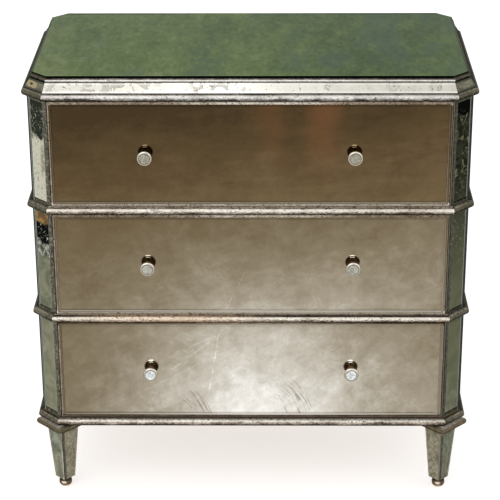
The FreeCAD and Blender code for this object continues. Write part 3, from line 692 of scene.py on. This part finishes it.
collar = {"cornerHighlight": screen(206, 200, 188), "cornerHighlightWide": (.002, .0045), "cornerHighlightHigh": (.004, .006),
          "flat": screen(196, 188, 180),
          "stops": [(0, screen(34, 30, 24)), (.4, screen(98, 89, 70)), (.7, screen(132, 122, 108)),
                    (1, screen(188, 180, 170))]}


def collarLeaf():  # grey along the upper edges, a painted highlight, brown below, painted shade, a painted highlight spot low at the front and rear corners, and the top face painted light
    made = Finish("collarLeaf")
    x, _, z = made.where()
    up = made.facing()[2]
    brush = made.swing(260, 4, .65, .5, seed=15)
    patches = made.swing(40, 4, .6, .8, seed=19)
    # tone by facing: painted highlight on the upper edges, painted shade below
    tone = .16 + .26 * (up + .1 * brush).ease(-.6, .1) + .36 * up.ease(.5, .8)
    tone = tone + .14 * brush + .14 * patches
    colour = made.tint(tone, collar["stops"])
    flecks = made.cloud(330, 3, .7, .8, seed=17).ease(.58, .62)
    colour = made.blend(.6 * flecks, colour, mouldLeaf["bare"])
    # a painted highlight spot low on the front and rear corners
    corner = 1 - abs(abs(x) - legX).ease(*collar["cornerHighlightWide"])
    cornerHighlight = corner * (1 - (z - span("leg_collars", "z")[0]).ease(*collar["cornerHighlightHigh"]))
    colour = made.blend(.85 * cornerHighlight, colour, collar["cornerHighlight"])
    # the top face painted light, painted light where the moulding above shades it
    flat = up.ease(.9, .97)
    colour = made.blend(flat, colour, collar["flat"])
    made.finish(Base_Color=colour, Metallic=.8 * (1 - flat), Specular_Tint=dimSlant,
                Specular_IOR_Level=0.0, Roughness=.32 + .3 * flecks,
                Normal=made.relief(brush, fineRelief))
    return made


dress(collarLeaf(), "leg_collars")


frameBars = {
    "width": .007, "softOut": .0006, "softIn": .0004, "side": .57, "bare": screen(50, 40, 31),
    "stops": [(0, screen(40, 33, 26)), (.3, screen(100, 87, 70)), (.6, screen(152, 138, 120)),
              (1, screen(232, 223, 208))],
    "tiers": {  # tones of the head and the foot bar, painted light and shade that differ by tier, and where the glass starts on each
        "top": {"head": .46, "foot": .70, "seams": (1.5, .2), "lift": .5},
        "middle": {"head": .36, "foot": .80, "seams": (1.5, -.1), "lift": .5},
        "bottom": {"head": .04, "foot": .1, "seams": (-.2, .45), "lift": .15}}}


def frameLeaf(tier):  # leaf outside, painted lit and shaded; inside, the smoked glass painted as if mirrored, a painted reflection
    look = frameBars["tiers"][tier]
    headSeam, footSeam = look["seams"]
    made = Finish(tier + "FrameLeaf")
    x, _, z = made.where()
    right, _, up = made.facing()
    foot, head = span(tier + "_drawer_frame", "z")
    inward = up * ((foot + head) / 2 - z).sign() - right * x.sign()
    outward = 0 - inward
    grainy = made.swing(260, 4, .7, .5, seed=2)
    footLine, headLine = foot + frameBars["width"], head - frameBars["width"]
    low = 1 - z.ease(footLine - frameBars["softOut"], footLine + frameBars["softIn"])
    high = z.ease(headLine - frameBars["softIn"], headLine + frameBars["softOut"])
    sides = 1 - low - high
    # the head and foot bars at their tier's painted light and shade, the head bars painted lighter in the
    # middle
    tone = frameBars["side"] * sides + (look["foot"] + .35 * outward.ease(0, .6)) * low
    tone = tone + (look["head"] + .32 * (1 - abs(x - .02).ease(.05, .25))) * high
    rim = outward.ease(.2, .8) * (low + high)  # slopes that turn away from the pane, painted lighter, a painted highlight
    tone = tone + .25 * rim + .2 * inward.ease(.2, .8) * high
    tone = tone + .2 * grainy + .14 * made.swing(24, 3, seed=5)
    colour = made.tint(tone, frameBars["stops"])
    flecks = made.cloud(300, 3, .7, .8, (1.8, 1, 1), seed=6).ease(.55, .60)
    colour = made.blend(.75 * flecks, colour, frameBars["bare"])
    # the panes' painted reflection, lifted on the inner slopes where the pane meets the frame: painted
    # light over the shade there
    mirrored = paintedReflectionTone(x, z, tier)
    steep = inward.ease(.9, .98)
    lift = (look["lift"] * inward.ease(.2, .9) + .2 * steep) * (1 - mirrored)
    mirrored = mirrored + lift + .35 * steep * mirrored
    border = low * footSeam + high * headSeam - sides * (.35 + .25 * x.sign())
    inside = (inward - border + .08 * grainy).ease(-.12, .12)
    colour = made.blend(inside, colour, made.tint(mirrored, drawerGlass["warm"]))
    made.finish(Base_Color=colour, Metallic=.8 - .6 * inside.most(.85 * low).most(rim),
                Specular_Tint=midSlant, Specular_IOR_Level=0.0, Roughness=.36 + .3 * flecks,
                Normal=made.relief(grainy, fineRelief))
    return made


for tier in tiers:
    dress(frameLeaf(tier), tier + "_drawer_frame")


panelWear = {"stops": [(.1, screen(42, 40, 32)), (.45, screen(88, 86, 72)), (.85, screen(150, 146, 130))],
             "flecks": screen(150, 146, 130), "pits": screen(22, 20, 16)}


def panelLeaf():
    made = Finish("panelLeaf")
    grainy = made.swing(90, 4, .7, .5, seed=7)
    tone = .45 + .22 * grainy + .12 * made.swing(20, 4, .6, .6, seed=10)
    colour = made.tint(tone, panelWear["stops"])
    flecks = made.cloud(220, 3, .7, .8, seed=13).ease(.58, .62)
    colour = made.blend(.7 * flecks, colour, panelWear["flecks"])
    pits = made.cloud(160, 3, .7, .8, seed=15).ease(.58, .62)
    colour = made.blend(.7 * pits, colour, panelWear["pits"])
    made.finish(Base_Color=colour, Metallic=.6, Specular_Tint=midSlant, Roughness=.36 + .3 * pits,
                Normal=made.relief(grainy, deepRelief))
    return made


dress(panelLeaf(), "side_panel_left", "side_panel_right")


posts = {"stops": [(.1, screen(30, 30, 24)), (.45, screen(67, 65, 52)), (.85, screen(110, 108, 92))],
         "flecks": screen(158, 156, 138), "pits": screen(22, 21, 16),
         # the lines' places are across, from the post's inner edge
         "dark": screen(38, 36, 27), "darkLine": (.0020, .0038, .0003),
         "inner": screen(112, 106, 90), "innerLine": (.0016, .0020),
         "beside": screen(152, 157, 146), "besideLine": (.0374, .0378),
         "edge": screen(26, 29, 25), "edgeLine": (.0390, .0395)}


def postLeaf():  # olive glaze, a pale line beside the mirror and a dark outer edge; the right posts painted darker, painted shade
    made = Finish("postLeaf")
    x = made.where()[0]
    across = abs(x) - span("post_front_right", "x")[0]
    right = x.ease(-.1, .1)
    grainy = made.swing(220, 4, .7, .5, seed=5)
    colour = made.tint(.58 - .2 * right + .2 * grainy, posts["stops"])
    flecks = made.cloud(270, 3, .7, .8, seed=11).ease(.55, .60)
    colour = made.blend((.7 - .35 * right) * flecks, colour, posts["flecks"])
    pits = made.cloud(300, 3, .7, .8, (1, 1, 2), seed=13).ease(.53, .58)
    colour = made.blend(.65 * pits, colour, posts["pits"])
    colour = made.blend(.8 * right * across.band(*posts["darkLine"]), colour, posts["dark"])
    colour = made.blend(.8 * right * (1 - across.ease(*posts["innerLine"])), colour, posts["inner"])
    colour = made.blend(across.ease(*posts["besideLine"]), colour, posts["beside"])
    colour = made.blend((across + .0010 * right).ease(*posts["edgeLine"]), colour, posts["edge"])
    made.finish(Base_Color=colour, Metallic=.6, Specular_Tint=midSlant,
                Roughness=.36 + .3 * pits, Normal=made.relief(grainy, deepRelief))
    return made


dress(postLeaf(), "post_front_left", "post_front_right", "post_rear_left", "post_rear_right")


legs = {"stops": [(.1, screen(58, 52, 42)), (.5, screen(118, 114, 98)), (.9, screen(176, 174, 156))],
        "light": screen(194, 192, 178), "dark": screen(44, 40, 32), "cornerX": (.006, .009),
        "outerX": (.016, .02), "soft": .0003}


def legLeaf():  # a light and a dark line down the front and rear corners, light outer corners
    made = Finish("legLeaf")
    x, _, z = made.where()
    across = x - legX * x.sign()
    grainy = made.swing(260, 4, .7, .5, seed=11)
    broken = made.cloud(220, 3, .7, .8, (1, 1, 2), seed=12)
    colour = made.tint(.45 + .2 * grainy, legs["stops"])
    corner = 1 - abs(across).ease(*legs["cornerX"])
    light = corner * (1 - across.ease(-legs["soft"], legs["soft"])) * broken.ease(.36, .48)
    light = light * (1 - .8 * x.ease(-.1, .1)) * (1 - .6 * z.ease(.09, .11))
    light = light.most(.6 * abs(across).ease(*legs["outerX"]) * broken.ease(.4, .55))
    dark = corner * (across + .002 * grainy).ease(-legs["soft"], legs["soft"]) * broken.ease(.34, .46)
    colour = made.blend(.85 * light, colour, legs["light"])
    colour = made.blend(.85 * dark, colour, legs["dark"])
    made.finish(Base_Color=colour, Metallic=.6, Specular_Tint=midSlant, Roughness=.4,
                Normal=made.relief(grainy, deepRelief))
    return made


dress(legLeaf(), "leg_front_left", "leg_front_right", "leg_rear_left", "leg_rear_right")


neck = {"stops": [(.1, screen(46, 42, 36)), (.5, screen(82, 75, 64)), (.9, screen(120, 112, 98))],
        # head is a painted shadow under the top glass; slant the cants' painted reflection
        "head": screen(10, 9, 8), "topShadowIn": (.0032, .0020), "slant": screen(64, 62, 50)}


def neckWood():
    made = Finish("neckWood")
    grainy = made.swing(90, 4, .7, .5, long=(3, 3, 1), seed=9)
    colour = made.tint(.5 + .25 * grainy, neck["stops"])
    headLine = [span("cornice_core", "z")[1] - inset for inset in neck["topShadowIn"]]
    # a painted shadow: near black along the top, under the glass
    colour = made.blend(made.where()[2].ease(*headLine), colour, neck["head"])
    # the cants painted olive, a painted reflection
    colour = made.blend(slantOf(made), colour, neck["slant"])
    made.finish(Base_Color=colour, Metallic=.3, Specular_IOR_Level=0.0, Roughness=.5 + .1 * grainy)
    return made


dress(neckWood(), "cornice_core")
print("silver leaf laid")


# metal
knobs = {
    "silver": [(.05, screen(226, 216, 202)), (.3, screen(170, 160, 144)), (.55, screen(160, 150, 134)),
               (.75, screen(224, 216, 204)), (.95, screen(246, 242, 234))],
    # bronzeHigh and bronzeTop are the bronze painted lighter, a painted highlight
    "bronzeUp": (.32, .76), "bronzeLow": (screen(66, 48, 32), screen(36, 26, 18)),
    "bronzeHigh": (screen(140, 112, 86), screen(96, 76, 56)), "bronzeTop": screen(150, 124, 98),
    "front": (.00583, .00733), "behind": (.00733, .00813),  # in from the knobs' foremost point
    # glint and glintPower make the glowing strip, a painted highlight
    "paneTurn": .4235, "glint": (.76, .80, .90, 1), "glintPower": 12.0}


def knobNickel():  # silver in front and bronze behind, both with painted highlights, and a glowing strip towards the pane, a painted highlight for its reflection
    made = Finish("knobNickel")
    _, y, z = made.where()
    right, back, up = made.facing()
    deep = y - span("top_drawer_knobs", "y")[0]
    mark = made.cloud(180, 4, .6, .5, seed=2)
    # the silver painted brightest on top, a painted highlight, and light below, a painted reflection of
    # the floor
    silver = made.tint(.5 + .5 * up + .1 * (mark - .5), knobs["silver"])
    # the higher knobs' bronze and its top painted lighter, a painted highlight
    higher = z.ease(*knobs["bronzeUp"])
    light, dark = [made.blend(higher, low, high)
                   for low, high in zip(knobs["bronzeLow"], knobs["bronzeHigh"])]
    bronze = made.blend(up.ease(.3, .7), made.blend(mark, light, dark), knobs["bronzeTop"])
    behind = back.ease(.05, .25) * (1 - deep.ease(*knobs["behind"]))
    bright = (1 - deep.ease(*knobs["front"])).most(up.ease(.60, .80) * behind)
    turned = (back - knobs["paneTurn"] * up).ease(0, .02)  # faces the drawer's pane
    # gleam: a glowing strip on the rim's back, unseen from the front, that shows in the pane as a painted
    # highlight
    gleam = up.ease(.64, .70) * turned * (1 - abs(right + .05).ease(.12, .4)) * behind
    made.finish(Base_Color=made.blend(bright, bronze, silver), Metallic=1.0,
                Roughness=.16 + .12 * mark, Emission_Color=made.blend(gleam, black, knobs["glint"]),
                Emission_Strength=knobs["glintPower"])
    return made


dress(knobNickel(), *[tier + "_drawer_knobs" for tier in tiers])


ballFeet = {
    # the stops run from the floor's painted reflection below to the painted shade under the leg
    "stops": [(.1, screen(240, 228, 214)), (.28, screen(206, 186, 166)), (.38, screen(70, 56, 43)),
              (.5, screen(104, 88, 70)), (.62, screen(88, 74, 58)), (.74, screen(50, 43, 34)),
              (.86, screen(40, 34, 28))],
    "glow": screen(222, 208, 190)}


def footNickel():  # painted shade under the leg, one painted highlight, and the floor's glow painted below, a painted reflection
    made = Finish("footNickel")
    right, _, up = made.facing()
    mark = made.swing(70, 4, .65, .6, seed=3)
    colour = made.tint(.5 + .5 * up + .05 * mark, ballFeet["stops"])
    glow = up.band(-.05, .3, .12) * (1 - abs(right + .15).ease(.15, .5))
    colour = made.blend(glow, colour, ballFeet["glow"])
    made.finish(Base_Color=colour, Metallic=1.0, Specular_Tint=midSlant, Roughness=.16 + .04 * mark)
    return made


dress(footNickel(), "ball_feet")


def screwSteel():
    made = Finish("screwSteel")
    mark = made.cloud(90, 5, .65, .6, seed=5)
    colour = made.blend(mark.ease(.3, .7), screen(112, 110, 104), screen(176, 174, 168))
    made.finish(Base_Color=colour, Metallic=1.0, Roughness=.3 + .15 * mark,
                Normal=made.relief(mark, fineRelief))
    return made


dress(screwSteel(), "leg_bolts", *[tier + "_drawer_knob_screws" for tier in tiers])
print("metal done")


# plain wood inside
woods = {"across": (screen(164, 126, 80), screen(206, 172, 124)),
         "deep": (screen(160, 122, 78), screen(204, 170, 122)),
         "dark": (screen(34, 26, 20), screen(70, 56, 42)), "edgeShade": screen(34, 27, 20)}


def boxWood(name, shades, along, shadedEdges=False):
    made = Finish(name)
    long = tuple(9 if axis == along else .7 for axis in range(3))
    rings = made.swing(22, 5, .6, 1.2, long=long, seed=3)
    fibre = made.swing(150, 3, .7, 0, long=long, seed=6)
    dark, light = woods[shades]
    colour = made.tint(.5 + .3 * rings + .12 * fibre, [(.1, dark), (.9, light)])
    if shadedEdges:  # front and rear faces painted dark, painted shade for the dark lines in the gaps
        colour = made.blend(abs(made.facing()[1]).ease(.5, .8), colour, woods["edgeShade"])
    made.finish(Base_Color=colour, Roughness=.66 + .08 * fibre, Normal=made.relief(fibre, deepRelief))
    return made


dress(boxWood("poplarAcross", "across", 0, True), "web_frame_upper", "web_frame_lower", "bottom_board",
      "top_board")
dress(boxWood("poplarLong", "across", 0), "back_panel",
      *[f"{tier}_drawer_{part}" for tier in tiers for part in ("back", "bottom")])
dress(boxWood("poplarDeep", "deep", 1), "drawer_guides", "drawer_stops",
      *[tier + "_drawer_sides" for tier in tiers])
# the drawer fronts' wood painted dark, painted shade for the gaps around the drawers
dress(boxWood("darkShadedFront", "dark", 0), *[tier + "_drawer_front" for tier in tiers])
print("wood done")
